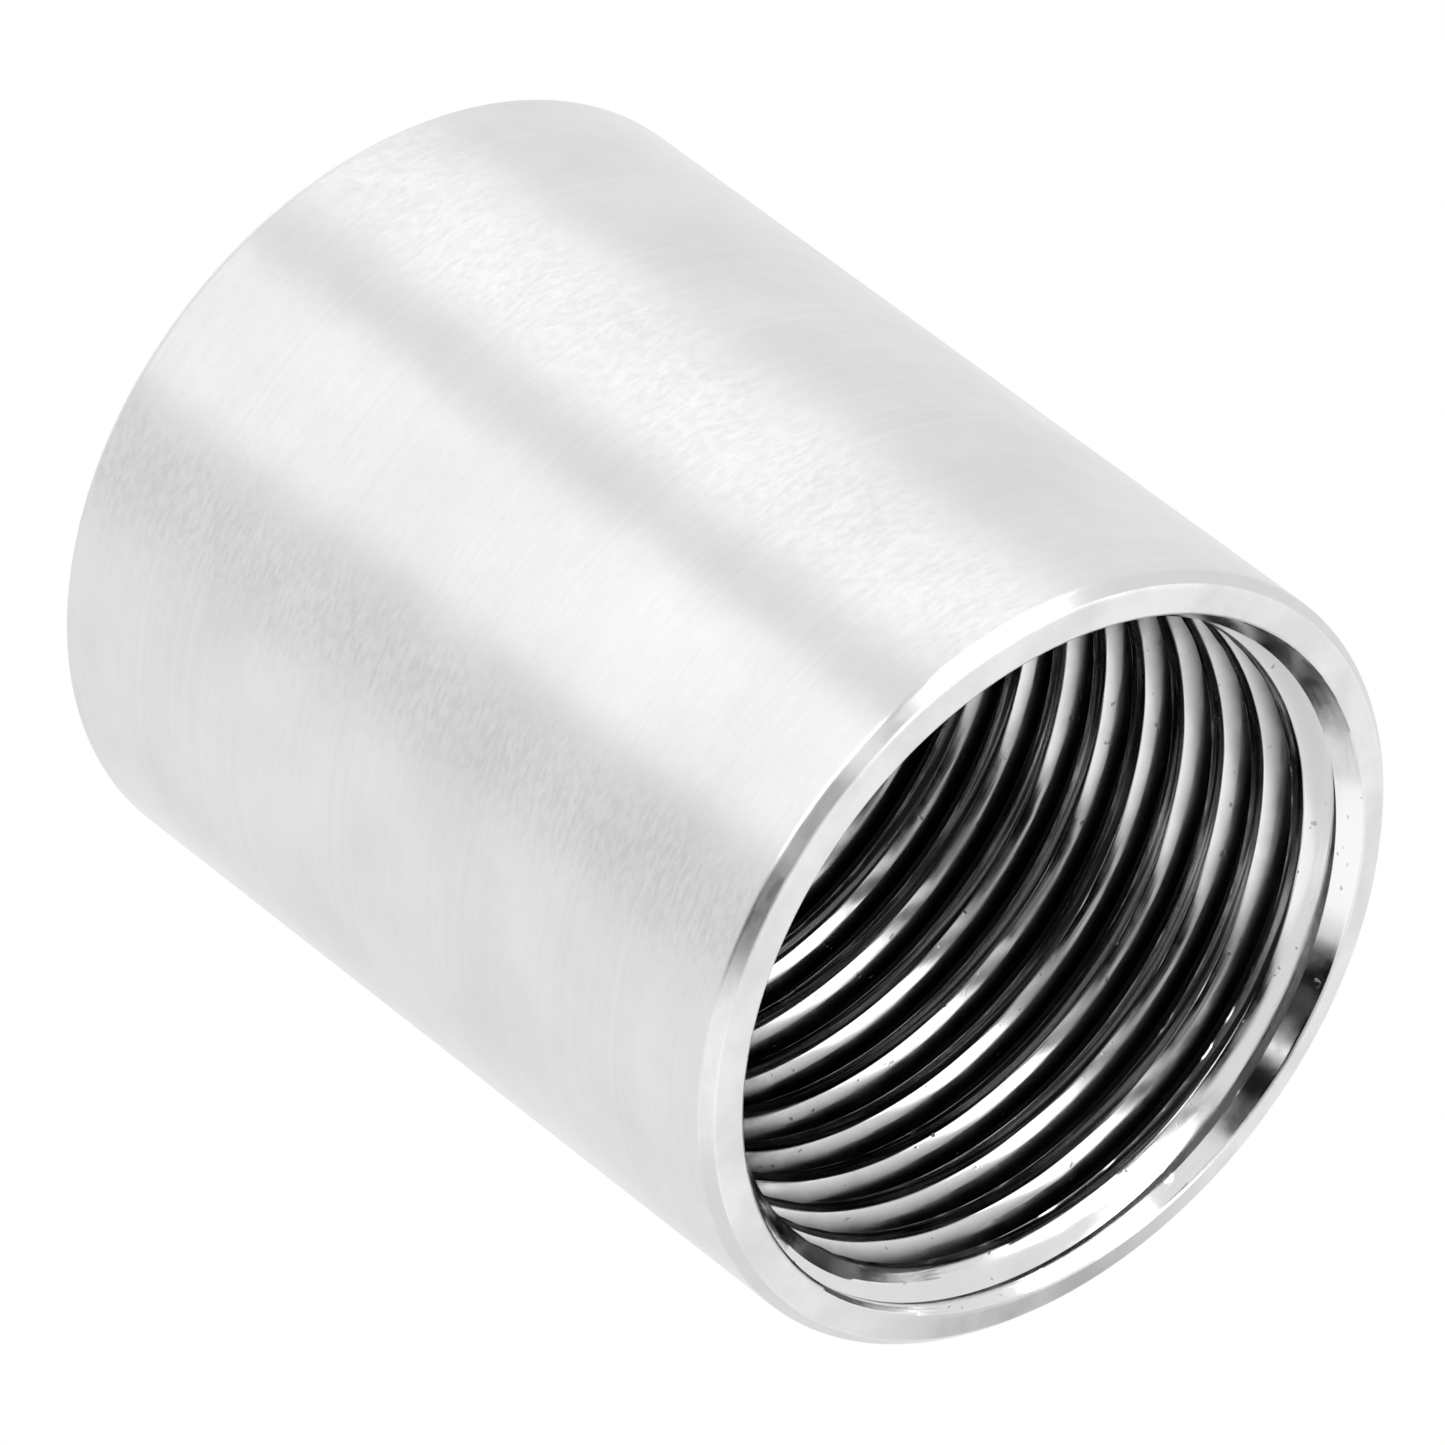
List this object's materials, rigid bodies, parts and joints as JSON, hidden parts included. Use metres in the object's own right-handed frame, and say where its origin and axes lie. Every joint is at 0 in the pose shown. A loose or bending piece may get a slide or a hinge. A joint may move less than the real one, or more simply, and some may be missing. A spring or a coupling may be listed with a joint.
{
  "type": "pipe coupling",
  "caption": "Plain round stainless-steel pipe coupling, threaded right through inside, with chamfered and countersunk ends.",
  "frame": {"origin": "centre of the lower end face, on the bore's axis", "axes": "+Z along the bore's axis from one end face to the other; X and Y are square to it"},
  "size_m": [0.0186, 0.0186, 0.0225],
  "materials": {
    "steel": "finely turned and satin brushed outside, bright cut thread inside"
  },
  "bodies": {
    "root": {"coupling_body": "steel"}
  },
  "joints": []
}
